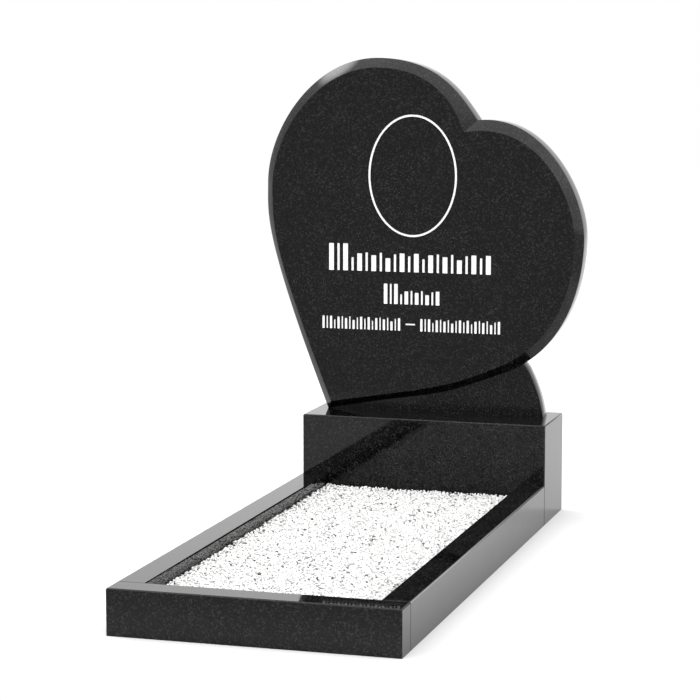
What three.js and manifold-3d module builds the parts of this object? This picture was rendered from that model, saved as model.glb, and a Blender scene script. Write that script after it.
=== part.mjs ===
// A polished granite grave memorial: a tilted heart-shaped slab on a plinth, a kerb and a bed of chips.
// Millimetres, Z up. X runs across the grave and Y from its foot end to the slab.
// The origin is the centre of the plinth's underside, on the ground.

import * as THREE from 'three';
import { mergeVertices } from 'three/addons/utils/BufferGeometryUtils.js';
import Module from 'manifold-3d';

const wasm = await Module();
wasm.setup();

// Clearance between pieces that touch
const GAP = 0.3;

// Plinth and kerb
const SET_WIDTH = 500;
const PLINTH_DEPTH = 170;
const PLINTH_HEIGHT = 200;
const KERB_HEIGHT = 80;
const KERB_THICKNESS = 50;
const SIDE_BAR_LENGTH = 1000;
const ARRIS = 2;

// Bed of chips inside the kerb
const BED_DROP = 24;
const BED_WAVE = 1.2;
const BED_WAVE_ACROSS = 130;
const BED_WAVE_ALONG = 210;
const BED_CELL = 34;

// Slab: depths along Y, counted from the plinth's centre line
const SLAB_FACE_Y = -10;
const BEVEL_DEPTH = 18;
const RIM_DEPTH = 38;
const CURVE_STEPS = 26;

// Slab outlines, x and height above the plinth's top. A reach is the length of a curve's handle at that
// point, and a slope is the handle's direction in degrees above +X.
const RIM_OUTLINE = {
  tip: { x: -224.8, z: -0.5, leftReach: 386.5, leftSlope: 111.5, lowerReach: 265, lowerSlope: 11.2 },
  left: { x: -353.5, z: 460, reachDown: 66, reachUp: 109 },
  top: { x: -119.5, z: 715, reachLeft: 137, reachRight: 130 },
  cleft: { x: 86.5, z: 593, leftReach: 54, leftSlope: 126, rightReach: 132, rightSlope: 6.8 },
  right: { x: 304.5, z: 360, reachUp: 94, reachDown: 33 },
  low: { x: 141.5, z: 86, reachRight: 170, reachLeft: 183, slope: 20.8 },
};
const FACE_OUTLINE = {
  tip: { x: -213.5, z: 16.5, leftReach: 310, leftSlope: 111.5, lowerReach: 200, lowerSlope: 10.2 },
  left: { x: -338, z: 450, reachDown: 103, reachUp: 111 },
  top: { x: -117, z: 696, reachLeft: 126, reachRight: 147 },
  cleft: { x: 62.5, z: 569.5, leftReach: 12, leftSlope: 121, rightReach: 169, rightSlope: 9.9 },
  right: { x: 288.5, z: 368, reachUp: 53, reachDown: 69 },
  low: { x: 139, z: 102.5, reachRight: 153, reachLeft: 129, slope: 24.5 },
};

// Foot of the slab, beside and below the heart, in the same coordinates
const FOOT = { left: -221, right: 225.5, shoulderX: 192, shoulderZ: 98.5, bulgeX: 218, bulgeZ: 52 };
const FOOT_STEPS = 12;
const FOOT_INSIDE = { rightX: 160, rightZ: 140, leftX: -180, leftZ: 40 };

// Engraving on the slab's face: an oval line and rows of upright strokes
const ENGRAVING_DEPTH = 1;
const OVAL = { x: -42.3, z: 480.7, width: 184, height: 245.5, line: 4.5, steps: 72 };
const BIG_STROKES = { height: 37.5, wide: 10, narrow: 4.5, gap: 8.2, tall: 1.46 };
const MEDIUM_STROKES = { height: 28, wide: 7.5, narrow: 3.5, gap: 6, tall: 1.46 };
const SMALL_STROKES = { height: 25.5, wide: 4.6, narrow: 2.4, gap: 4.4, tall: 1 };
const ROWS = [
  { left: -217, right: 120, base: 287, ...BIG_STROKES },
  { left: -101.5, right: 14.5, base: 221.5, ...MEDIUM_STROKES },
  { left: -231.5, right: -67, base: 167.5, ...SMALL_STROKES },
  { left: -25, right: 140, base: 167.5, ...SMALL_STROKES },
];
const DASH = { left: -55.5, right: -36, base: 179.5, height: 3 };
const TALL_STROKES = 3;
const STROKE_HEIGHTS = [1, 0.86, 1, 0.72, 0.94];

// Worked out from the sizes above
const PLINTH_FRONT = -PLINTH_DEPTH / 2;
const SIDE_BAR_FRONT = PLINTH_FRONT - SIDE_BAR_LENGTH;
const RIM_FRONT_Y = SLAB_FACE_Y + BEVEL_DEPTH;
const SLAB_BACK_Y = RIM_FRONT_Y + RIM_DEPTH;

const granite = () => new THREE.MeshStandardMaterial({ color: 0x17181a, roughness: 0.12, metalness: 0 });
const marbleChips = () => new THREE.MeshStandardMaterial({ color: 0xe9e8e4, roughness: 0.8, metalness: 0 });

function toManifold(geometry) {
  const bare = geometry.clone();
  bare.deleteAttribute('normal');
  bare.deleteAttribute('uv');
  const merged = mergeVertices(bare, 1e-4);
  return new wasm.Manifold(new wasm.Mesh({
    numProp: 3,
    vertProperties: new Float32Array(merged.attributes.position.array),
    triVerts: new Uint32Array(merged.index.array),
  }));
}

function toGeometry(solid) {
  const mesh = solid.getMesh();
  const geometry = new THREE.BufferGeometry();
  geometry.setAttribute('position', new THREE.BufferAttribute(new Float32Array(mesh.vertProperties), 3));
  geometry.setIndex(new THREE.BufferAttribute(new Uint32Array(mesh.triVerts), 1));
  geometry.computeVertexNormals();
  return geometry;
}

function namedMesh(name, geometry, material) {
  const mesh = new THREE.Mesh(geometry, material);
  mesh.name = name;
  return mesh;
}

// A closed body through a stack of rings. Each ring is { outline, place }: the outline is a list of points,
// counterclockwise from the side that the last ring faces, and place puts a point in space.
function stackRings(rings) {
  const count = rings[0].outline.length;
  const positions = rings.flatMap(({ outline, place }) => outline.flatMap((p) => place(p).toArray()));
  const triangles = [];
  for (let ring = 0; ring < rings.length - 1; ring += 1) {
    for (let i = 0; i < count; i += 1) {
      const a = ring * count + i;
      const b = ring * count + (i + 1) % count;
      triangles.push(a, b, b + count, a, b + count, a + count);
    }
  }
  const last = (rings.length - 1) * count;
  const cap = (outline) => THREE.ShapeUtils.triangulateShape(outline, []);
  cap(rings[0].outline).forEach(([a, b, c]) => triangles.push(a, c, b));
  cap(rings[rings.length - 1].outline).forEach(([a, b, c]) => triangles.push(last + a, last + b, last + c));
  const geometry = new THREE.BufferGeometry();
  geometry.setAttribute('position', new THREE.Float32BufferAttribute(positions, 3));
  geometry.setIndex(triangles);
  geometry.computeVertexNormals();
  return geometry;
}

// A rectangle with cut corners, counterclockwise
function cutCornerRectangle(width, depth, corner) {
  const x = width / 2;
  const y = depth / 2;
  return [
    [x, y - corner], [x - corner, y], [corner - x, y], [-x, y - corner],
    [-x, corner - y], [corner - x, -y], [x - corner, -y], [x, corner - y],
  ].map(([px, py]) => new THREE.Vector2(px, py));
}

// A standing block with polished arrises on its upright and top edges, centred on its own underside
function blockGeometry(width, depth, height) {
  const plan = cutCornerRectangle(width, depth, ARRIS);
  const topPlan = cutCornerRectangle(width - 2 * ARRIS, depth - 2 * ARRIS, ARRIS / 2);
  const at = (z) => (p) => new THREE.Vector3(p.x, p.y, z);
  return stackRings([
    { outline: plan, place: at(0) },
    { outline: plan, place: at(height - ARRIS) },
    { outline: topPlan, place: at(height) },
  ]);
}

// The heart's outline as six curves, from the tip up the left side and round to the tip again
function heartCurves({ tip, left, top, cleft, right, low }) {
  const point = (p, dx = 0, dz = 0) => new THREE.Vector2(p.x + dx, p.z + dz);
  const reach = (p, slope, length) => {
    const angle = THREE.MathUtils.degToRad(slope);
    return point(p, length * Math.cos(angle), length * Math.sin(angle));
  };
  const handles = [
    [tip, reach(tip, tip.leftSlope, tip.leftReach), point(left, 0, -left.reachDown), left],
    [left, point(left, 0, left.reachUp), point(top, -top.reachLeft), top],
    [top, point(top, top.reachRight), reach(cleft, cleft.leftSlope, cleft.leftReach), cleft],
    [cleft, reach(cleft, cleft.rightSlope, cleft.rightReach), point(right, 0, right.reachUp), right],
    [right, point(right, 0, -right.reachDown), reach(low, low.slope, low.reachRight), low],
    [low, reach(low, low.slope, -low.reachLeft), reach(tip, tip.lowerSlope, tip.lowerReach), tip],
  ];
  const toCurve = ([from, out, into, to]) => new THREE.CubicBezierCurve(point(from), out, into, point(to));
  return handles.map(toCurve);
}

// Even steps along each curve, so that two outlines have matching points. Reversed, it runs counterclockwise.
function heartPoints(outline) {
  const steps = [...Array(CURVE_STEPS).keys()].map((i) => i / CURVE_STEPS);
  return heartCurves(outline).flatMap((curve) => steps.map((u) => curve.getPointAt(u))).reverse();
}

// Puts an outline's x and height on an upright plane across the grave
const uprightAt = (y) => (p) => new THREE.Vector3(p.x, y, p.y + PLINTH_HEIGHT);

function heartGeometry() {
  const rim = heartPoints(RIM_OUTLINE);
  const face = heartPoints(FACE_OUTLINE);
  return stackRings([
    { outline: rim, place: uprightAt(SLAB_BACK_Y) },
    { outline: rim, place: uprightAt(RIM_FRONT_Y) },
    { outline: face, place: uprightAt(SLAB_FACE_Y) },
  ]);
}

// Extrudes a shape that is drawn in x and height from one depth to another
function uprightExtrusion(shape, frontY, backY, curveSegments) {
  const settings = { depth: backY - frontY, bevelEnabled: false, curveSegments };
  const geometry = new THREE.ExtrudeGeometry(shape, settings);
  geometry.rotateX(Math.PI / 2);
  return geometry.translate(0, backY, PLINTH_HEIGHT);
}

function footGeometry() {
  const shape = new THREE.Shape();
  shape.moveTo(FOOT.left, -ARRIS);
  shape.lineTo(FOOT.right, -ARRIS);
  shape.lineTo(FOOT.right, 0);
  shape.quadraticCurveTo(FOOT.bulgeX, FOOT.bulgeZ, FOOT.shoulderX, FOOT.shoulderZ);
  shape.lineTo(FOOT_INSIDE.rightX, FOOT_INSIDE.rightZ);
  shape.lineTo(FOOT_INSIDE.leftX, FOOT_INSIDE.leftZ);
  return uprightExtrusion(shape, RIM_FRONT_Y, SLAB_BACK_Y, FOOT_STEPS);
}

// Cutters reach from in front of the slab to the engraving's depth
const engravingCutter = (shape, segments) => uprightExtrusion(
  shape,
  SLAB_FACE_Y - ENGRAVING_DEPTH,
  SLAB_FACE_Y + ENGRAVING_DEPTH,
  segments,
);

function ovalCutter() {
  const shape = new THREE.Shape();
  shape.absellipse(OVAL.x, OVAL.z, OVAL.width / 2, OVAL.height / 2, 0, 2 * Math.PI);
  const inside = new THREE.Path();
  inside.absellipse(OVAL.x, OVAL.z, OVAL.width / 2 - OVAL.line, OVAL.height / 2 - OVAL.line, 0, 2 * Math.PI);
  shape.holes.push(inside);
  return engravingCutter(shape, OVAL.steps / 2);
}

function strokeCutter({ left, right, base, height }) {
  const shape = new THREE.Shape();
  shape.moveTo(left, base);
  shape.lineTo(right, base);
  shape.lineTo(right, base + height);
  shape.lineTo(left, base + height);
  return engravingCutter(shape, 1);
}

// Upright strokes, wide and narrow in turn, spread evenly over the row's length
function rowStrokes({ left, right, base, height, wide, narrow, gap, tall }) {
  const pairs = Math.round((right - left + gap - wide) / (wide + narrow + 2 * gap));
  const pitch = (right - left - wide) / pairs;
  const strokes = [];
  for (let i = 0; i <= 2 * pairs; i += 1) {
    const width = i % 2 === 0 ? wide : narrow;
    const middle = left + wide / 2 + (i * pitch) / 2;
    const factor = i < TALL_STROKES ? tall : STROKE_HEIGHTS[i % STROKE_HEIGHTS.length];
    strokes.push({ left: middle - width / 2, right: middle + width / 2, base, height: height * factor });
  }
  return strokes;
}

function headstone() {
  const underside = new THREE.BoxGeometry(2 * SET_WIDTH, 2 * PLINTH_DEPTH, PLINTH_HEIGHT);
  underside.translate(0, 0, PLINTH_HEIGHT / 2 + GAP);
  let solid = toManifold(heartGeometry()).add(toManifold(footGeometry())).subtract(toManifold(underside));
  solid = solid.subtract(toManifold(ovalCutter()));
  for (const stroke of [...ROWS.flatMap(rowStrokes), DASH]) {
    solid = solid.subtract(toManifold(strokeCutter(stroke)));
  }
  return namedMesh('headstone', toGeometry(solid), granite());
}

function plinth() {
  return namedMesh('plinth', blockGeometry(SET_WIDTH, PLINTH_DEPTH, PLINTH_HEIGHT), granite());
}

function frontBar() {
  const mesh = namedMesh('kerb_front', blockGeometry(SET_WIDTH, KERB_THICKNESS, KERB_HEIGHT), granite());
  mesh.position.set(0, SIDE_BAR_FRONT - KERB_THICKNESS / 2, 0);
  return mesh;
}

function sideBar(name, side) {
  const geometry = blockGeometry(KERB_THICKNESS, SIDE_BAR_LENGTH - 2 * GAP, KERB_HEIGHT);
  const mesh = namedMesh(name, geometry, granite());
  mesh.position.set(side * (SET_WIDTH - KERB_THICKNESS) / 2, PLINTH_FRONT - SIDE_BAR_LENGTH / 2, 0);
  return mesh;
}

// The bed fills the kerb, and its top rises and falls a little
function chipBed() {
  const width = SET_WIDTH - 2 * KERB_THICKNESS - 2 * GAP;
  const length = SIDE_BAR_LENGTH - 2 * GAP;
  const height = KERB_HEIGHT - BED_DROP;
  const across = Math.round(width / BED_CELL);
  const along = Math.round(length / BED_CELL);
  const geometry = new THREE.BoxGeometry(width, length, height, across, along, 1);
  geometry.translate(0, 0, height / 2);
  const position = geometry.attributes.position;
  const isTop = (z) => z > height / 2;
  for (let i = 0; i < position.count; i += 1) {
    const wave = Math.sin(position.getX(i) / BED_WAVE_ACROSS * 2 * Math.PI)
      + Math.cos(position.getY(i) / BED_WAVE_ALONG * 2 * Math.PI);
    if (isTop(position.getZ(i))) position.setZ(i, height + BED_WAVE * wave);
  }
  geometry.computeVertexNormals();
  const mesh = namedMesh('gravel_bed', geometry, marbleChips());
  mesh.position.set(0, PLINTH_FRONT - SIDE_BAR_LENGTH / 2, 0);
  return mesh;
}

const kerb = new THREE.Group();
kerb.add(frontBar(), sideBar('kerb_left', -1), sideBar('kerb_right', 1), chipBed());

const memorial = new THREE.Group();
memorial.add(headstone(), plinth(), kerb);

export default memorial;
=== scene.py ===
import functools
import math

import bmesh
import bpy
import numpy as np
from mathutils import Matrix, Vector
from mathutils.geometry import delaunay_2d_cdt


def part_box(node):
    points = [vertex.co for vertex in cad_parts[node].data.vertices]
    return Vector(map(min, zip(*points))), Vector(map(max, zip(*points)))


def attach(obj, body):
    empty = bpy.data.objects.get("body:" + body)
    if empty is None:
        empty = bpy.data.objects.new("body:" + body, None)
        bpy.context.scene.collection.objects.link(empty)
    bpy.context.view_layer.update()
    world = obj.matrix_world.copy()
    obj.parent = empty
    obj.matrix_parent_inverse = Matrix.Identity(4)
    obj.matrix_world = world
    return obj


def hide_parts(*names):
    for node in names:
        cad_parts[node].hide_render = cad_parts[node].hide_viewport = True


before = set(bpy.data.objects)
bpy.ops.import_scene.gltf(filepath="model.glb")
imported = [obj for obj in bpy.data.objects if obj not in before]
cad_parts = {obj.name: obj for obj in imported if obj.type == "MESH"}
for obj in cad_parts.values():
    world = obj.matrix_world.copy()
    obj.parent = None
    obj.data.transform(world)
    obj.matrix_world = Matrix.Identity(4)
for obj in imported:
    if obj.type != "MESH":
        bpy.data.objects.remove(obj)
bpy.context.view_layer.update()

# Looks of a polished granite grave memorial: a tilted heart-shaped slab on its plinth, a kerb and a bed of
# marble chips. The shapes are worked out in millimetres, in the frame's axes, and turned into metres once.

MM = 0.001
CLOSE = 1e-6
# A face looks straight along an axis where its normal's share along it is over STRAIGHT, and lies on a plane
# where it is nearer than ON_PLANE, in millimetres
STRAIGHT = 0.999
ON_PLANE = 0.01
BODY = "root"
STONE_SLOT = "polished_granite"
CHIPS_SLOT = "marble_chips"

# Camera: where it stands, how far it looks down and to the left, and its lens
CAMERA_PLACE = (1.2458, -4.7403, 1.0072)
CAMERA_DOWN = math.radians(7.878)
CAMERA_LEFT = math.radians(16.695)
CAMERA_LENS = 125.886
CAMERA_SENSOR = 36
CAMERA_REACH = 200

# Slab: depths along Y and heights above the plinth's top
PLINTH_TOP = 200
SLAB_FACE_Y = -10
RIM_FRONT_Y = 8
SLAB_BACK_Y = 46
CURVE_STEPS = 84
CURVE_SAMPLES = 600
RIM_OUTLINE = {
    "tip": dict(x=-224.8, z=-0.5, left_reach=386.5, left_slope=111.5, lower_reach=265, lower_slope=11.2),
    "left": dict(x=-353.5, z=460, reach_down=66, reach_up=109),
    "top": dict(x=-119.5, z=715, reach_left=137, reach_right=130),
    "cleft": dict(x=86.5, z=593, left_reach=54, left_slope=126, right_reach=132, right_slope=6.8),
    "right": dict(x=304.5, z=360, reach_up=94, reach_down=33),
    "low": dict(x=141.5, z=86, reach_right=170, reach_left=183, slope=20.8),
}
FACE_OUTLINE = {
    "tip": dict(x=-213.5, z=16.5, left_reach=310, left_slope=111.5, lower_reach=200, lower_slope=10.2),
    "left": dict(x=-338, z=450, reach_down=103, reach_up=111),
    "top": dict(x=-117, z=696, reach_left=126, reach_right=147),
    "cleft": dict(x=62.5, z=569.5, left_reach=12, left_slope=121, right_reach=169, right_slope=9.9),
    "right": dict(x=288.5, z=368, reach_up=53, reach_down=69),
    "low": dict(x=139, z=102.5, reach_right=153, reach_left=129, slope=24.5),
}
RIM_EASE = 0.8
FACE_EASE = 0.6
BACK_EASE = 1.2
EASE_STEPS = 4
SLAB_CREASE = 32
# Half the width and depth of the box that trims the slab level with the plinth's top
TRIM_REACH = (500, 200)
POLISHED, PAINT, HONED, SATIN = range(4)

# Foot of the slab, beside and below the heart
FOOT = dict(left=-221, right=225.5, shoulder_x=192, shoulder_z=98.5, bulge_x=218, bulge_z=52)
FOOT_INSIDE = dict(right_x=160, right_z=140, left_x=-180, left_z=40)
FOOT_SUNK = 2
FOOT_STEPS = 40
# The middle ring of the foot's eased edges, as a share of the ease
EASE_MIDDLE = 0.3

# Engraving: an oval line and rows of upright strokes, filled with white paint
ENGRAVING_DEPTH = 1.0
ENGRAVING_DRAFT = 0.25
OVAL = dict(x=-42.3, z=480.7, width=183.4, height=244.9, line=3.9)
OVAL_STEPS = 168
BIG_STROKES = dict(height=37.5, wide=10, narrow=4.5, gap=8.2, tall=1.46)
MEDIUM_STROKES = dict(height=28, wide=7.5, narrow=3.5, gap=6, tall=1.46)
SMALL_STROKES = dict(height=25.5, wide=4.6, narrow=2.4, gap=4.4, tall=1)
ROWS = [
    dict(left=-217, right=120, base=287, **BIG_STROKES),
    dict(left=-101.5, right=14.5, base=221.5, **MEDIUM_STROKES),
    dict(left=-231.5, right=-67, base=167.5, **SMALL_STROKES),
    dict(left=-25, right=140, base=167.5, **SMALL_STROKES),
]
DASH = dict(left=-55.5, right=-36, base=179.5, height=3)
TALL_STROKES = 3
STROKE_HEIGHTS = [1, 0.86, 1, 0.72, 0.94]
# A stroke's corners: their radius, and how many times as long as it a side is at least
STROKE_CORNER = 0.9
CORNER_LIMIT = 2.2
CORNER_STEPS = 3

# Blocks of the plinth and kerb
ARRIS = 2.0
SEAM_ARRIS = 0.9
# How an arris leaves the upright face and meets the top, as shares of its width: inset and drop
ARRIS_PROFILE = [(0, 1.16), (0.07, 0.93), (0.93, 0.07), (1.16, 0)]
SIDES = ("front", "right", "back", "left")
PLAN_POINTS = len(SIDES) * len(ARRIS_PROFILE)
CORNER_NARROWING = 0.5
BLOCK_CREASE = 40

# Bed of chips. Widths and heights are shares of a chip's length, most chips are nearer the shortest, and the
# room is what a chip needs on the plan, as a share of its size
CHIP_SEED = 7
CHIP_SHAPES = 90
CHIP_CORNERS = 13
CHIP_CORNER_REACH = (0.86, 1.06)
CHIP_HALF_LENGTHS = (2.6, 5.0)
CHIP_LENGTH_BETA = (1.5, 2.4)
CHIP_WIDTHS = (0.72, 0.95)
CHIP_HEIGHTS = (0.56, 0.82)
CHIP_ROOM = 1.03
CHIP_TRIES = 50000
CHIP_CHOICES = 4
CHIP_TILT = 26
CHIP_SINK = 0.6
BED_FLOOR = 47.5
BED_CELL = 12
BED_ROUGHNESS = 2.5
BED_LEVEL = 57.2
BED_WAVE = 0.5
BED_HEAPED = dict(left=4.5, head=2.5, reach=70)
BED_WAVE_ACROSS = 130
BED_WAVE_ALONG = 210
FIELD_CELL = 1.25
CHIP_GROUPS = 4

# Stone and floor
GRANITE_IOR = 1.34
MARBLE_IOR = 1.5
# Tones of the chips: the share of all chips that comes before a tone, its grey level and its warmth
CHIP_TONES = [(0, 0.72, 0.01), (0.35, 0.79, 0.01), (0.86, 0.85, 0), (0.92, 0.66, 0), (0.96, 0.38, 0),
              (0.986, 0.17, 0), (0.997, 0.06, 0)]
FLOOR_GREYS = (0.633, 0.637)
FLOOR_LOW = (-5000, -2300)
FLOOR_HIGH = (5000, 14000)

# Studio: where the floor fades out, in metres along Y and X, and where the key and fill glows stand
FLOOR_FRONT_FADE = (-1.62, -1.02)
FLOOR_LEFT_FADE = (-1.15, -0.55)
FLOOR_RIGHT_FADE = (1.15, 2.0)
KEY_WAY = (-0.642, 0.122, 0.757)
KEY_SPREAD = (math.cos(math.radians(14)), math.cos(math.radians(2)))
KEY_STRENGTH = 9.5
FILL_WAY = (0.0, -0.2, 0.97)
FILL_SPREAD = (math.cos(math.radians(70)), math.cos(math.radians(16)))
FILL_STRENGTH = 1.69
# The other glows: where one starts and ends along its axis, and its strengths at those places
FRONT_GLOW = (-0.9, -0.5, 0.78, 0.5)
BEHIND_GLOW = (0.5, 0.97, 0, 0.88)
BEHIND_LEFT_TO_RIGHT = (-0.26, -0.06, 1, 0.66)
CEILING_GLOW = (0.2, 0.65, 0, 0.4)
RIGHT_GLOW = (0.2, 0.85, 0, 0.45)
RIGHT_HIGH_GLOW = (0.55, 0.88, 0, 1.15)
ABOVE_HORIZON = (-0.08, 0.1, 0, 1)
LEFT_GLOW = (-0.95, -0.45, 0.4, 0)


# Meshes

def make_piece(name, vertices, faces, materials, face_materials=None, flat=None):
    """A new object from vertices in millimetres. flat says which faces are shaded flat."""
    mesh = bpy.data.meshes.new(name)
    mesh.from_pydata(np.asarray(vertices, float) * MM, [], faces)
    for material in materials:
        mesh.materials.append(material)
    if face_materials is not None:
        mesh.polygons.foreach_set("material_index", np.asarray(face_materials, np.int32))
    smooth = np.ones(len(mesh.polygons), bool) if flat is None else ~np.asarray(flat, bool)
    mesh.polygons.foreach_set("use_smooth", smooth)
    mesh.update()
    piece = bpy.data.objects.new(name, mesh)
    bpy.context.scene.collection.objects.link(piece)
    return piece


def belongs(piece, slot_name, *nodes):
    """The piece rides on the memorial and stands for those nodes, whose parts it hides. slot_name is not used.
    """
    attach(piece, BODY)
    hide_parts(*nodes)
    return piece


def shade(mesh, angle):
    """Smooth shading over edges flatter than the angle, and flat shading on faces square to an axis."""
    mesh.set_sharp_from_angle(angle=math.radians(angle))
    for face in mesh.polygons:
        face.use_smooth = max(abs(n) for n in face.normal) < 0.99999


def strip_faces(lower, upper):
    """Quads between two closed rings of vertex numbers, facing out when the rings run counterclockwise."""
    following = lambda ring: np.roll(ring, -1)
    return np.column_stack([lower, following(lower), following(upper), upper]).tolist()


def left_of_path(points):
    """For each point of a closed outline, the unit vector to the left of the way that it runs."""
    ahead = np.roll(points, -1, 0) - points
    ahead /= np.linalg.norm(ahead, axis=1)[:, None]
    way = ahead + np.roll(ahead, 1, 0)
    way /= np.linalg.norm(way, axis=1)[:, None]
    return np.column_stack([-way[:, 1], way[:, 0]])


def triangulate(loops):
    """Triangles over the closed outlines, as numbers of their points in the order given, counterclockwise."""
    points = np.vstack(loops)
    edges = []
    start = 0
    for loop in loops:
        numbers = np.arange(start, start + len(loop))
        edges.extend(np.column_stack([numbers, np.roll(numbers, -1)]).tolist())
        start += len(loop)
    made = delaunay_2d_cdt([Vector(p) for p in points], edges, [], 0, CLOSE)
    original = [numbers[0] for numbers in made[3]]
    triangles = np.array([[original[i] for i in face] for face in made[2]])
    a, b, c = (points[triangles[:, i]] for i in range(3))
    area = (b - a)[:, 0] * (c - a)[:, 1] - (b - a)[:, 1] * (c - a)[:, 0]
    triangles[area < 0] = triangles[area < 0][:, ::-1]
    return points, triangles


def inside(points, outline):
    """Which points lie inside a closed outline."""
    x, z = points[:, :1], points[:, 1:]
    ax, az = outline[:, 0], outline[:, 1]
    bx, bz = np.roll(ax, -1), np.roll(az, -1)
    spans = (az > z) != (bz > z)
    level = np.where(bz == az, 1, bz - az)
    crossing = ax + (z - az) * (bx - ax) / level
    return (spans & (x < crossing)).sum(1) % 2 == 1


# Outlines of the slab

def cubic(points, steps):
    """Even steps along a cubic curve, its last point left out."""
    p0, p1, p2, p3 = (np.array(p, float) for p in points)
    t = np.linspace(0, 1, CURVE_SAMPLES)[:, None]
    fine = (1 - t) ** 3 * p0 + 3 * (1 - t) ** 2 * t * p1 + 3 * (1 - t) * t ** 2 * p2 + t ** 3 * p3
    run = np.concatenate([[0], np.cumsum(np.linalg.norm(np.diff(fine, axis=0), axis=1))])
    at = np.linspace(0, run[-1], steps + 1)[:-1]
    return np.column_stack([np.interp(at, run, fine[:, 0]), np.interp(at, run, fine[:, 1])])


def heart_ring(outline):
    """The heart's outline in x and height, counterclockwise as seen from the front."""
    tip, left, top, cleft, right, low = (outline[k] for k in ("tip", "left", "top", "cleft", "right", "low"))
    at = lambda p, dx=0, dz=0: (p["x"] + dx, p["z"] + dz)

    def reach(p, slope, length):
        angle = math.radians(slope)
        return at(p, length * math.cos(angle), length * math.sin(angle))

    curves = [
        (at(tip), reach(tip, tip["left_slope"], tip["left_reach"]),
         at(left, 0, -left["reach_down"]), at(left)),
        (at(left), at(left, 0, left["reach_up"]), at(top, -top["reach_left"]), at(top)),
        (at(top), at(top, top["reach_right"]),
         reach(cleft, cleft["left_slope"], cleft["left_reach"]), at(cleft)),
        (at(cleft), reach(cleft, cleft["right_slope"], cleft["right_reach"]),
         at(right, 0, right["reach_up"]), at(right)),
        (at(right), at(right, 0, -right["reach_down"]),
         reach(low, low["slope"], low["reach_right"]), at(low)),
        (at(low), reach(low, low["slope"], -low["reach_left"]),
         reach(tip, tip["lower_slope"], tip["lower_reach"]), at(tip)),
    ]
    return np.vstack([cubic(curve, CURVE_STEPS) for curve in curves])[::-1]


def upright(points, y):
    """Puts x and height above the plinth's top on an upright plane, or at a depth for each point."""
    depth = np.broadcast_to(np.asarray(y, float), len(points))
    return np.column_stack([points[:, 0], depth, points[:, 1] + PLINTH_TOP])


def eased_corner(start, corner, end):
    """Rings from start to end that round a corner off."""
    rings = []
    for i in range(EASE_STEPS + 1):
        t = i / EASE_STEPS
        rings.append((1 - t) ** 2 * start + 2 * (1 - t) * t * corner + t ** 2 * end)
    return rings


def oval_loop(inset):
    """The oval line's outer edge moved in by the inset, counterclockwise."""
    turn = np.arange(OVAL_STEPS) / OVAL_STEPS * 2 * math.pi
    across, up = OVAL["width"] / 2 - inset, OVAL["height"] / 2 - inset
    return np.column_stack([OVAL["x"] + across * np.cos(turn), OVAL["z"] + up * np.sin(turn)])


def stroke_loop(left, right, base, height):
    """An upright stroke with its corners rounded off, counterclockwise."""
    radius = min(STROKE_CORNER, (right - left) / CORNER_LIMIT, height / CORNER_LIMIT)
    corners = [(right - radius, base + radius), (right - radius, base + height - radius),
               (left + radius, base + height - radius), (left + radius, base + radius)]
    points = []
    for quarter, (x, z) in enumerate(corners):
        for i in range(CORNER_STEPS + 1):
            angle = math.radians(90 * (quarter - 1 + i / CORNER_STEPS))
            points.append((x + radius * math.cos(angle), z + radius * math.sin(angle)))
    return np.array(points)


def row_strokes(left, right, base, height, wide, narrow, gap, tall):
    """Upright strokes, wide and narrow in turn, spread evenly over the row's length."""
    pairs = round((right - left + gap - wide) / (wide + narrow + 2 * gap))
    pitch = (right - left - wide) / pairs
    strokes = []
    for i in range(2 * pairs + 1):
        width = narrow if i % 2 else wide
        middle = left + wide / 2 + i * pitch / 2
        factor = tall if i < TALL_STROKES else STROKE_HEIGHTS[i % len(STROKE_HEIGHTS)]
        strokes.append((middle - width / 2, middle + width / 2, base, height * factor))
    return strokes


# Slab

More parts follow.
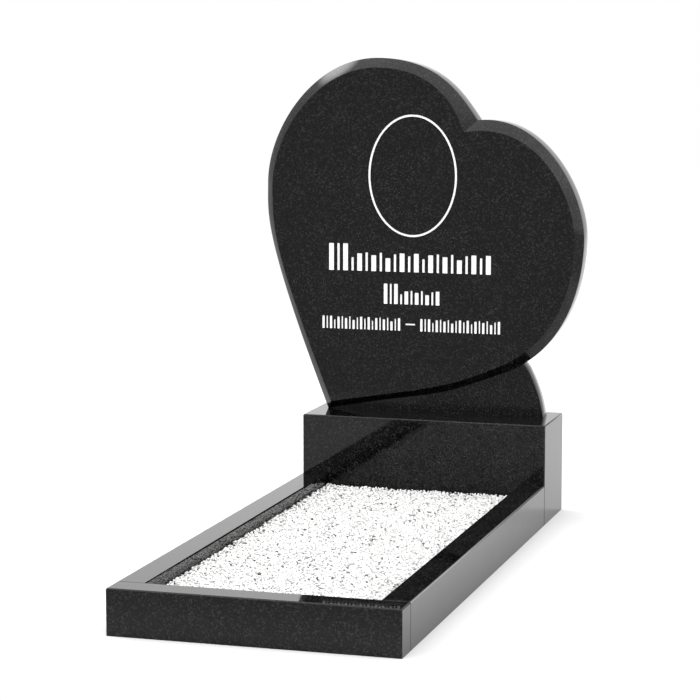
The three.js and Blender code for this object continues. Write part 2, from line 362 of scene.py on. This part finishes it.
def heart_mesh(materials):
    """The heart with its bevelled rim, eased edges and engraved face, as one closed mesh."""
    rim, face = heart_ring(RIM_OUTLINE), heart_ring(FACE_OUTLINE)
    inward = (face - rim) / np.linalg.norm(face - rim, axis=1)[:, None]
    rim_back, rim_front = upright(rim, SLAB_BACK_Y), upright(rim, RIM_FRONT_Y)
    face_edge = upright(face, SLAB_FACE_Y)
    slope = (face_edge - rim_front) / np.linalg.norm(face_edge - rim_front, axis=1)[:, None]
    in_plane = np.column_stack([inward[:, 0], np.zeros(len(inward)), inward[:, 1]])
    backward = np.array([0.0, 1.0, 0.0])
    rings = [
        *eased_corner(rim_back + BACK_EASE * in_plane, rim_back, rim_back - BACK_EASE * backward),
        *eased_corner(rim_front + RIM_EASE * backward, rim_front, rim_front + RIM_EASE * slope),
        *eased_corner(face_edge - FACE_EASE * slope, face_edge, face_edge + FACE_EASE * in_plane),
    ]
    count = len(rim)
    vertices = list(np.vstack(rings))
    faces, face_materials, flat = [], [], []

    def add_faces(new, material, is_flat):
        faces.extend(new)
        face_materials.extend([material] * len(new))
        flat.extend([is_flat] * len(new))

    numbers = lambda ring: np.arange(ring * count, (ring + 1) * count)
    for ring in range(len(rings) - 1):
        add_faces(strip_faces(numbers(ring), numbers(ring + 1)), POLISHED, False)

    outline = lambda ring: rings[ring][:, [0, 2]] - (0, PLINTH_TOP)
    back_points, back = triangulate([outline(0)])
    back = back[inside(back_points[back].mean(1), outline(0))]
    add_faces(back[:, ::-1].tolist(), HONED, True)

    # The recesses: a loop that runs counterclockwise has its recess inside, and the oval's inner one outside
    oval_outside, oval_inside = oval_loop(0), oval_loop(OVAL["line"])
    strokes = [stroke for row in ROWS for stroke in row_strokes(**row)]
    strokes.append((DASH["left"], DASH["right"], DASH["base"], DASH["height"]))
    loops = [oval_outside, oval_inside[::-1], *[stroke_loop(*stroke) for stroke in strokes]]
    points, triangles = triangulate([outline(-1), *loops])
    middle = points[triangles].mean(1)
    on_slab = inside(middle, outline(-1))
    sunk = inside(middle, oval_outside) & ~inside(middle, oval_inside)
    for loop in loops[2:]:
        sunk |= inside(middle, loop)

    first_loop = len(vertices)
    top_number = np.concatenate([numbers(len(rings) - 1), first_loop + np.arange(len(points) - count)])
    floor_start = first_loop + len(points) - count
    floor_number = np.concatenate([numbers(len(rings) - 1), floor_start + np.arange(len(points) - count)])
    vertices.extend(upright(points[count:], SLAB_FACE_Y))
    start = count
    for loop in loops:
        floor = loop + ENGRAVING_DRAFT * left_of_path(loop)
        vertices.extend(upright(floor, SLAB_FACE_Y + ENGRAVING_DEPTH))
        own = np.arange(start, start + len(loop))
        add_faces(strip_faces(floor_number[own], top_number[own]), PAINT, False)
        faces[-len(loop):] = [quad[::-1] for quad in faces[-len(loop):]]
        start += len(loop)
    add_faces(top_number[triangles[on_slab & ~sunk]].tolist(), POLISHED, True)
    add_faces(floor_number[triangles[on_slab & sunk]].tolist(), PAINT, True)
    return make_piece("heart", vertices, faces, materials, face_materials, flat)


def foot_mesh(materials):
    """The flat foot that carries the heart, with its edges eased."""
    t = np.linspace(0, 1, FOOT_STEPS + 1)[:, None]
    start, bulge, shoulder = (np.array(p, float) for p in (
        (FOOT["right"], 0), (FOOT["bulge_x"], FOOT["bulge_z"]), (FOOT["shoulder_x"], FOOT["shoulder_z"])))
    side = (1 - t) ** 2 * start + 2 * (1 - t) * t * bulge + t ** 2 * shoulder
    outline = np.vstack([
        [(FOOT["left"], -FOOT_SUNK), (FOOT["right"], -FOOT_SUNK)],
        side,
        [(FOOT_INSIDE["right_x"], FOOT_INSIDE["right_z"]), (FOOT_INSIDE["left_x"], FOOT_INSIDE["left_z"])],
    ])
    inward = left_of_path(outline)
    rings = [
        upright(outline + BACK_EASE * inward, SLAB_BACK_Y),
        upright(outline + EASE_MIDDLE * BACK_EASE * inward, SLAB_BACK_Y - EASE_MIDDLE * BACK_EASE),
        upright(outline, SLAB_BACK_Y - BACK_EASE),
        upright(outline, RIM_FRONT_Y + RIM_EASE),
        upright(outline + EASE_MIDDLE * RIM_EASE * inward, RIM_FRONT_Y + EASE_MIDDLE * RIM_EASE),
        upright(outline + RIM_EASE * inward, RIM_FRONT_Y),
    ]
    count = len(outline)
    last = len(rings) - 1
    numbers = lambda ring: np.arange(ring * count, (ring + 1) * count)
    faces = [quad for ring in range(last) for quad in strip_faces(numbers(ring), numbers(ring + 1))]
    faces.append(numbers(0)[::-1].tolist())
    faces.append(numbers(last).tolist())
    return make_piece("foot", np.vstack(rings), faces, materials)


def box_mesh(low, high):
    """A plain box to cut with."""
    corners = [(x, y, z) for x in (low[0], high[0]) for y in (low[1], high[1]) for z in (low[2], high[2])]
    piece = make_piece("cutter", corners, [], [])
    bm = bmesh.new()
    bm.from_mesh(piece.data)
    bmesh.ops.convex_hull(bm, input=bm.verts)
    bm.to_mesh(piece.data)
    bm.free()
    return piece


def combine(piece, other, operation):
    """Joins another closed mesh to the piece or cuts it away, and removes the other."""
    modifier = piece.modifiers.new(operation, "BOOLEAN")
    modifier.operation = operation
    modifier.solver = "EXACT"
    modifier.object = other
    evaluated = piece.evaluated_get(bpy.context.evaluated_depsgraph_get())
    mesh = bpy.data.meshes.new_from_object(evaluated)
    piece.modifiers.clear()
    old = piece.data
    piece.data = mesh
    bpy.data.meshes.remove(old)
    other_mesh = other.data
    bpy.data.objects.remove(other)
    bpy.data.meshes.remove(other_mesh)


def headstone(polished, paint, honed, satin):
    """The slab. Its back is honed, and the sunk face of its foot is satin. Both are guesses: the back can't be
    seen, and the sunk face mirrors nothing clear in the photograph."""
    materials = [polished, paint, honed, satin]
    piece = heart_mesh(materials)
    combine(piece, foot_mesh(materials), "UNION")
    across, along = TRIM_REACH
    below = box_mesh((-across, -along, 0), (across, along, PLINTH_TOP))
    combine(piece, below, "DIFFERENCE")
    mesh = piece.data
    for face in mesh.polygons:
        if face.normal.y > STRAIGHT and abs(face.center.y / MM - SLAB_BACK_Y) < ON_PLANE:
            face.material_index = HONED
        if face.normal.y < -STRAIGHT and abs(face.center.y / MM - RIM_FRONT_Y) < ON_PLANE:
            face.material_index = SATIN
    shade(mesh, SLAB_CREASE)
    piece.name = mesh.name = "headstone_slab"
    return belongs(piece, STONE_SLOT, "headstone")


# Blocks

def plan_ring(low, high, inset, corner):
    """A rectangle with eased cut corners, counterclockwise. inset is how far each side moves in."""
    left, right = low[0] + inset["left"], high[0] - inset["right"]
    front, back = low[1] + inset["front"], high[1] - inset["back"]
    points = []
    turns = [((right, front), (-1, 0), (0, 1)), ((right, back), (0, -1), (-1, 0)),
             ((left, back), (1, 0), (0, -1)), ((left, front), (0, 1), (1, 0))]
    for (x, y), before, after in turns:
        for near, far in ARRIS_PROFILE:
            points.append((x + corner * (far * before[0] + near * after[0]),
                           y + corner * (far * before[1] + near * after[1])))
    return np.array(points)


def block(name, node, arris, finish, under_finish):
    """A block in the place of a CAD node. arris gives the width of the arris at the top of each side."""
    low, high = (np.array(corner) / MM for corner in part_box(node))
    corner = min(arris.values())
    square = plan_ring(low, high, dict.fromkeys(SIDES, 0), corner)
    rings = [np.column_stack([square, np.full(PLAN_POINTS, low[2])])]
    # Of each corner's four points, the outer two belong to its sides and the inner two to the cut corner
    height = []
    for before, after in zip(SIDES, SIDES[1:] + SIDES[:1]):
        between = 0.5 * (arris[before] + arris[after])
        height.extend([arris[before], between, between, arris[after]])
    for inset, drop in ARRIS_PROFILE:
        insets = {side: inset * arris[side] for side in SIDES}
        plan = plan_ring(low, high, insets, corner * (1 - CORNER_NARROWING * inset))
        rings.append(np.column_stack([plan, high[2] - drop * np.array(height)]))
    numbers = lambda ring: np.arange(ring * PLAN_POINTS, (ring + 1) * PLAN_POINTS)
    faces = [numbers(0)[::-1].tolist()]
    for ring in range(len(rings) - 1):
        faces.extend(strip_faces(numbers(ring), numbers(ring + 1)))
    faces.append(numbers(len(rings) - 1).tolist())
    piece = make_piece(name, np.vstack(rings), faces, [finish, under_finish])
    for face in piece.data.polygons:
        if face.normal.z < -STRAIGHT:
            face.material_index = 1
    shade(piece.data, BLOCK_CREASE)
    return belongs(piece, STONE_SLOT, node)


# Chips

def chip_shape(rng):
    """Corners and faces of one angular chip, in shares of its half sizes."""
    direction = rng.normal(size=(CHIP_CORNERS, 3))
    direction /= np.linalg.norm(direction, axis=1)[:, None]
    direction *= rng.uniform(*CHIP_CORNER_REACH, (CHIP_CORNERS, 1))
    bm = bmesh.new()
    for corner in direction:
        bm.verts.new(corner)
    bmesh.ops.convex_hull(bm, input=bm.verts)
    bmesh.ops.delete(bm, geom=[v for v in bm.verts if not v.link_faces], context="VERTS")
    bmesh.ops.triangulate(bm, faces=bm.faces)
    bm.verts.index_update()
    corners = np.array([v.co for v in bm.verts])
    triangles = np.array([[v.index for v in face.verts] for face in bm.faces])
    bm.free()
    return corners, triangles


def cells_under(middle, reach, start):
    """The cells of the height field, along one axis, that a chip can cover."""
    return slice(int((middle - reach - start) / FIELD_CELL), int((middle + reach - start) / FIELD_CELL) + 1)


def settle_chips(rng, low, high):
    """Drops the chips one by one on a height field, each where it comes to lie lowest of a few places, and
    leaves out those that would stand above the bed's level. Returns middles, half sizes and headings."""
    across = int((high[0] - low[0]) / FIELD_CELL)
    along = int((high[1] - low[1]) / FIELD_CELL)
    cell_x = low[0] + (np.arange(across) + 0.5) * FIELD_CELL
    cell_y = low[1] + (np.arange(along) + 0.5) * FIELD_CELL
    field = np.full((across, along), BED_FLOOR, float)
    shortest, longest = CHIP_HALF_LENGTHS
    length = shortest + (longest - shortest) * rng.beta(*CHIP_LENGTH_BETA, CHIP_TRIES)
    half = np.column_stack([length, length * rng.uniform(*CHIP_WIDTHS, CHIP_TRIES),
                            length * rng.uniform(*CHIP_HEIGHTS, CHIP_TRIES)])
    heading = rng.uniform(0, 2 * math.pi, CHIP_TRIES)
    reach_x = np.hypot(half[:, 0] * np.cos(heading), half[:, 1] * np.sin(heading)) * CHIP_ROOM
    reach_y = np.hypot(half[:, 0] * np.sin(heading), half[:, 1] * np.cos(heading)) * CHIP_ROOM
    draws = rng.uniform(0, 1, (CHIP_TRIES, CHIP_CHOICES, 2))
    x_all = low[0] + reach_x[:, None] + draws[:, :, 0] * (high[0] - low[0] - 2 * reach_x[:, None])
    y_all = low[1] + reach_y[:, None] + draws[:, :, 1] * (high[1] - low[1] - 2 * reach_y[:, None])
    level = BED_LEVEL + BED_WAVE * (np.sin(x_all / BED_WAVE_ACROSS * 2 * math.pi)
                                    + np.cos(y_all / BED_WAVE_ALONG * 2 * math.pi))
    level += BED_HEAPED["left"] * np.exp(-(x_all - low[0]) / BED_HEAPED["reach"])
    level += BED_HEAPED["head"] * np.exp(-(high[1] - y_all) / BED_HEAPED["reach"])
    kept, middle = [], []
    for i in range(CHIP_TRIES):
        c, s = math.cos(heading[i]), math.sin(heading[i])
        best = None
        for k in range(CHIP_CHOICES):
            x, y = x_all[i, k], y_all[i, k]
            rows = cells_under(x, reach_x[i], low[0])
            columns = cells_under(y, reach_y[i], low[1])
            dx = cell_x[rows, None] - x
            dy = cell_y[None, columns] - y
            bulge = 1 - ((c * dx + s * dy) / half[i, 0]) ** 2 - ((c * dy - s * dx) / half[i, 1]) ** 2
            rise = half[i, 2] * np.sqrt(np.maximum(bulge, 0))
            z = np.where(bulge > 0, field[rows, columns] + rise, 0).max() - CHIP_SINK
            if z + half[i, 2] < level[i, k] and (best is None or z < best[2]):
                best = x, y, z, rows, columns, np.where(bulge > 0, z + rise, 0)
        if best is not None:
            patch = field[best[3], best[4]]
            np.maximum(patch, best[5], out=patch)
            middle.append(best[:3])
            kept.append(i)
    return np.array(middle), half[kept], heading[kept]


def turned(half, heading, tilt, lean):
    """A chip's 3 x 3 matrix: sized, turned to its heading and leaned over by tilt, about the way of lean."""
    c, s = math.cos(lean), math.sin(lean)
    axis_turn = np.array([[c, -s, 0], [s, c, 0], [0, 0, 1]])
    ct, st = math.cos(tilt), math.sin(tilt)
    lean_over = axis_turn @ np.array([[1, 0, 0], [0, ct, -st], [0, st, ct]]) @ axis_turn.T
    ch, sh = math.cos(heading), math.sin(heading)
    turn = np.array([[ch, -sh, 0], [sh, ch, 0], [0, 0, 1]])
    return lean_over @ turn @ np.diag(half)


def chip_bed(chips, bed):
    """The chips in groups from the foot of the bed to its head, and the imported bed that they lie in."""
    low, high = (np.array(corner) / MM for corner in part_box("gravel_bed"))
    rng = np.random.default_rng(CHIP_SEED)
    shapes = [chip_shape(rng) for _ in range(CHIP_SHAPES)]
    middle, half, heading = settle_chips(rng, low, high)
    count = len(middle)
    shape_of = rng.integers(0, CHIP_SHAPES, count)
    tilt = np.radians(rng.uniform(0, CHIP_TILT, count))
    lean = rng.uniform(0, 2 * math.pi, count)
    along = (middle[:, 1] - low[1]) / (high[1] - low[1])
    group_of = np.minimum((along * CHIP_GROUPS).astype(int), CHIP_GROUPS - 1)
    for group in range(CHIP_GROUPS):
        vertices, faces, start = [], [], 0
        for i in np.flatnonzero(group_of == group):
            corners, triangles = shapes[shape_of[i]]
            matrix = turned(half[i], heading[i], tilt[i], lean[i])
            vertices.append(corners @ matrix.T + middle[i])
            faces.append(triangles + start)
            start += len(corners)
        vertices = np.vstack(vertices)
        vertices[:, 0] = np.clip(vertices[:, 0], low[0], high[0])
        vertices[:, 1] = np.clip(vertices[:, 1], low[1], high[1])
        faces = np.vstack(faces)
        flat = np.ones(len(faces), bool)
        piece = make_piece(f"marble_chips_{group + 1}", vertices, faces, [chips], flat=flat)
        belongs(piece, CHIPS_SLOT, "gravel_bed")
    belongs(bed_mesh(low, high, bed), CHIPS_SLOT, "gravel_bed")


def bed_mesh(low, high, material):
    """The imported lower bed: a closed block with a rough top, under the loose chips."""
    across = int((high[0] - low[0]) / BED_CELL)
    along = int((high[1] - low[1]) / BED_CELL)
    x = np.linspace(low[0], high[0], across + 1)
    y = np.linspace(low[1], high[1], along + 1)
    rng = np.random.default_rng(CHIP_SEED + 1)
    z = BED_FLOOR + rng.uniform(0, BED_ROUGHNESS, (across + 1, along + 1))
    bm = bmesh.new()
    grid = [[bm.verts.new((x[i], y[j], z[i, j])) for j in range(along + 1)] for i in range(across + 1)]
    for i in range(across):
        for j in range(along):
            bm.faces.new((grid[i][j], grid[i + 1][j], grid[i + 1][j + 1], grid[i][j + 1]))
    edge = [grid[i][0] for i in range(across + 1)] + [grid[across][j] for j in range(1, along + 1)]
    edge += [grid[i][along] for i in range(across - 1, -1, -1)]
    edge += [grid[0][j] for j in range(along - 1, 0, -1)]
    ground = [bm.verts.new((v.co.x, v.co.y, low[2])) for v in edge]
    for i in range(len(edge)):
        k = (i + 1) % len(edge)
        bm.faces.new((ground[i], ground[k], edge[k], edge[i]))
    bm.faces.new(ground[::-1])
    for v in bm.verts:
        v.co *= MM
    mesh = bpy.data.meshes.new("marble_bed_painted_shade")
    bm.to_mesh(mesh)
    bm.free()
    mesh.materials.append(material)
    piece = bpy.data.objects.new("marble_bed_painted_shade", mesh)
    bpy.context.scene.collection.objects.link(piece)
    return piece


# Materials

class Nodes:
    """Short calls for the nodes of one material."""

    def __init__(self, name):
        self.material = bpy.data.materials.new(name)
        self.material.use_nodes = True
        self.tree = self.material.node_tree
        self.shader = self.tree.nodes["Principled BSDF"]
        self.place = self.tree.nodes.new("ShaderNodeTexCoord").outputs["Object"]

    def node(self, kind, settings=None, **sockets):
        made = self.tree.nodes.new(kind)
        for key, value in (settings or {}).items():
            setattr(made, key, value)
        for key, value in sockets.items():
            self.set(made.inputs[key.replace("_", " ")], value)
        return made

    def set(self, socket, value):
        if isinstance(value, bpy.types.NodeSocket):
            self.tree.links.new(value, socket)
        else:
            socket.default_value = value

    def noise(self, scale, detail=2.0, roughness=0.5):
        return self.node("ShaderNodeTexNoise", Vector=self.place, Scale=scale, Detail=detail,
                         Roughness=roughness).outputs["Fac"]

    def cells(self, scale):
        """A random value for each cell of a stone's grain."""
        made = self.node("ShaderNodeTexVoronoi", Vector=self.place, Scale=scale)
        return self.node("ShaderNodeSeparateColor", Color=made.outputs["Color"]).outputs["Red"]

    def spread(self, value, low, high, to_low, to_high):
        made = self.node("ShaderNodeMapRange", {"interpolation_type": "SMOOTHSTEP"})
        for name, number in (("Value", value), ("From Min", low), ("From Max", high), ("To Min", to_low),
                             ("To Max", to_high)):
            self.set(made.inputs[name], number)
        return made.outputs["Result"]

    def ramp(self, value, stops):
        made = self.node("ShaderNodeValToRGB", Fac=value)
        while len(made.color_ramp.elements) < len(stops):
            made.color_ramp.elements.new(1)
        for element, (position, colour) in zip(made.color_ramp.elements, stops):
            element.position = position
            element.color = (*colour, 1)
        return made.outputs["Color"]

    def math(self, operation, a, b):
        made = self.node("ShaderNodeMath", {"operation": operation})
        self.set(made.inputs[0], a)
        self.set(made.inputs[1], b)
        return made.outputs["Value"]

    def mix(self, share, a, b, blend="MIX"):
        made = self.node("ShaderNodeMix", {"data_type": "RGBA", "blend_type": blend})
        for name, value in (("Factor_Float", share), ("A_Color", a), ("B_Color", b)):
            self.set(next(s for s in made.inputs if s.identifier == name), value)
        return next(s for s in made.outputs if s.identifier == "Result_Color")

    def bump(self, height, strength, distance):
        made = self.node("ShaderNodeBump", Height=height, Strength=strength, Distance=distance)
        return made.outputs["Normal"]


def grey(value, warmth=0.0):
    """A grey, with red added and blue taken away by the share of warmth."""
    return (value * (1 + warmth), value, value * (1 - warmth))


def granite(name, dark, light, fleck, roughness, waviness):
    """Fine-grained black granite: dark grains, lighter ones among them and rare bright flecks. The scales of
    cells and noise say how many come to a metre."""
    n = Nodes(name)
    coarse = n.ramp(n.cells(330), [(0, grey(dark)), (0.62, grey(dark * 1.5)), (0.86, grey(light * 0.6)),
                                   (1, grey(light * 1.3))])
    fine = n.ramp(n.cells(900), [(0, grey(dark * 0.8)), (0.75, grey(dark * 1.6)), (1, grey(light * 1.2))])
    grain = n.mix(0.35, coarse, fine)
    flecks = n.spread(n.cells(760), 0.965, 0.99, 0, 1)
    base = n.mix(flecks, grain, (*grey(fleck), 1))
    clouds = n.spread(n.noise(22, 3), 0.3, 0.7, 0.8, 1.25)
    tint = n.node("ShaderNodeCombineColor", Red=clouds, Green=clouds, Blue=clouds).outputs["Color"]
    n.set(n.shader.inputs["Base Color"], n.mix(1, base, tint, "MULTIPLY"))
    polish = n.spread(n.noise(700, 2), 0.35, 0.7, roughness * 0.7, roughness * 1.5)
    n.set(n.shader.inputs["Roughness"], polish)
    n.shader.inputs["IOR"].default_value = GRANITE_IOR
    n.set(n.shader.inputs["Normal"], n.bump(n.noise(260, 3), waviness, 0.0002))
    return n.material


def engraving_paint():
    """White stone paint in the engraved lines, a little uneven."""
    n = Nodes("engraving_paint")
    n.set(n.shader.inputs["Base Color"], n.ramp(n.noise(420, 4), [(0.3, grey(0.86)), (0.7, grey(0.97))]))
    n.set(n.shader.inputs["Roughness"], n.spread(n.noise(900, 2), 0.3, 0.7, 0.45, 0.7))
    n.set(n.shader.inputs["Normal"], n.bump(n.noise(1400, 3), 0.25, 0.0002))
    return n.material


def marble(name, brightness):
    """White marble chips: each has its own tone, and a few are grey or dark."""
    n = Nodes(name)
    own = n.node("ShaderNodeNewGeometry").outputs["Random Per Island"]
    tone = n.ramp(own, [(position, grey(value, warmth)) for position, value, warmth in CHIP_TONES])
    veins = n.ramp(n.noise(240, 4, 0.6), [(0.30, grey(0.84)), (0.44, grey(1.0)), (1, grey(1.0))])
    veined = n.mix(1, tone, veins, "MULTIPLY")
    n.set(n.shader.inputs["Base Color"], n.mix(1, veined, (*grey(brightness), 1), "MULTIPLY"))
    n.set(n.shader.inputs["Roughness"], n.spread(n.noise(600, 2), 0.3, 0.7, 0.5, 0.8))
    n.shader.inputs["IOR"].default_value = MARBLE_IOR
    n.set(n.shader.inputs["Normal"], n.bump(n.noise(1100, 4), 0.5, 0.0004))
    return n.material


def floor_paper():
    """Pale paper that fades out in front and on both sides, where the stone mirrors the dim room."""
    n = Nodes("floor_paper")
    dark, light = (grey(value) for value in FLOOR_GREYS)
    n.set(n.shader.inputs["Base Color"], n.ramp(n.noise(3, 2), [(0.3, dark), (0.7, light)]))
    n.shader.inputs["Roughness"].default_value = 1.0
    n.shader.inputs["Specular IOR Level"].default_value = 0.0
    place = n.node("ShaderNodeSeparateXYZ", Vector=n.place)
    front = n.spread(place.outputs["Y"], *FLOOR_FRONT_FADE, 0, 1)
    left = n.spread(place.outputs["X"], *FLOOR_LEFT_FADE, 0, 1)
    right = n.spread(place.outputs["X"], *FLOOR_RIGHT_FADE, 1, 0)
    n.set(n.shader.inputs["Alpha"], n.math("MULTIPLY", front, n.math("MULTIPLY", left, right)))
    return n.material


# Camera, light and floor

def camera():
    """The photograph's viewing angle."""
    data = bpy.data.cameras.new("camera")
    data.lens = CAMERA_LENS
    data.sensor_width = CAMERA_SENSOR
    data.clip_end = CAMERA_REACH
    made = bpy.data.objects.new("camera", data)
    made.location = CAMERA_PLACE
    made.rotation_euler = (math.pi / 2 - CAMERA_DOWN, 0, CAMERA_LEFT)
    bpy.context.scene.collection.objects.link(made)
    bpy.context.scene.camera = made


def studio():
    """A room of soft glows that lights the stone, which the camera itself sees as plain white."""
    world = bpy.data.worlds.new("studio")
    bpy.context.scene.world = world
    world.use_nodes = True
    tree = world.node_tree
    way = tree.nodes.new("ShaderNodeSeparateXYZ")
    place = tree.nodes.new("ShaderNodeTexCoord").outputs["Generated"]
    tree.links.new(place, way.inputs[0])

    def glow(share, start, end, low, high):
        made = tree.nodes.new("ShaderNodeMapRange")
        made.interpolation_type = "SMOOTHSTEP"
        tree.links.new(share, made.inputs["Value"])
        for name, value in (("From Min", start), ("From Max", end), ("To Min", low), ("To Max", high)):
            made.inputs[name].default_value = value
        return made.outputs["Result"]

    def joined(operation, a, b):
        made = tree.nodes.new("ShaderNodeMath")
        made.operation = operation
        tree.links.new(a, made.inputs[0])
        tree.links.new(b, made.inputs[1])
        return made.outputs["Value"]

    def toward(direction):
        made = tree.nodes.new("ShaderNodeVectorMath")
        made.operation = "DOT_PRODUCT"
        tree.links.new(place, made.inputs[0])
        made.inputs[1].default_value = Vector(direction).normalized()
        return made.outputs["Value"]

    x, y, z = (way.outputs[axis] for axis in "XYZ")
    parts = [
        glow(y, *FRONT_GLOW),
        joined("MULTIPLY", glow(y, *BEHIND_GLOW), glow(x, *BEHIND_LEFT_TO_RIGHT)),
        glow(z, *CEILING_GLOW),
        glow(x, *RIGHT_GLOW),
        joined("MULTIPLY", glow(x, *RIGHT_HIGH_GLOW), glow(z, *ABOVE_HORIZON)),
        glow(x, *LEFT_GLOW),
        glow(toward(FILL_WAY), *FILL_SPREAD, 0, FILL_STRENGTH),
        glow(toward(KEY_WAY), *KEY_SPREAD, 0, KEY_STRENGTH),
    ]
    room = functools.reduce(lambda a, b: joined("ADD", a, b), parts)
    lit = tree.nodes["Background"]
    tree.links.new(room, lit.inputs["Strength"])
    seen = tree.nodes.new("ShaderNodeBackground")
    seen.inputs["Color"].default_value = (1, 1, 1, 1)
    lit.inputs["Color"].default_value = (1, 1, 1, 1)
    choose = tree.nodes.new("ShaderNodeMixShader")
    tree.links.new(tree.nodes.new("ShaderNodeLightPath").outputs["Is Camera Ray"], choose.inputs["Fac"])
    tree.links.new(lit.outputs[0], choose.inputs[1])
    tree.links.new(seen.outputs[0], choose.inputs[2])
    tree.links.new(choose.outputs[0], tree.nodes["World Output"].inputs["Surface"])

    (left, front), (right, behind) = FLOOR_LOW, FLOOR_HIGH
    corners = [(left, front, 0), (right, front, 0), (right, behind, 0), (left, behind, 0)]
    floor = make_piece("floor", corners, [(0, 1, 2, 3)], [floor_paper()])
    view = bpy.context.scene.view_settings
    view.view_transform = "Standard"
    view.look = "None"


def memorial():
    """All pieces with their finishes."""
    black = dict(dark=0.0003, light=0.018, fleck=0.036, waviness=0.05)
    polished = granite("granite_polished", roughness=0.035, **black)
    honed = granite("granite_honed", dark=0.020, light=0.060, fleck=0.12, roughness=0.42, waviness=0.5)
    satin = granite("granite_satin", roughness=0.2, **black)
    headstone(polished, engraving_paint(), honed, satin)
    all_round = dict.fromkeys(SIDES, ARRIS)
    block("plinth_block", "plinth", all_round, polished, honed)
    block("kerb_front_bar", "kerb_front", {**all_round, "back": SEAM_ARRIS}, polished, honed)
    ends = dict(front=SEAM_ARRIS, back=SEAM_ARRIS)
    block("kerb_left_bar", "kerb_left", {**all_round, **ends}, polished, honed)
    block("kerb_right_bar", "kerb_right", {**all_round, **ends}, polished, honed)
    # The bed under the chips is the same marble at half brightness: painted shade in the gaps between the
    # chips
    chip_bed(marble("marble_chips", brightness=0.96), marble("marble_bed_painted_shade", brightness=0.5))


camera()
studio()
memorial()
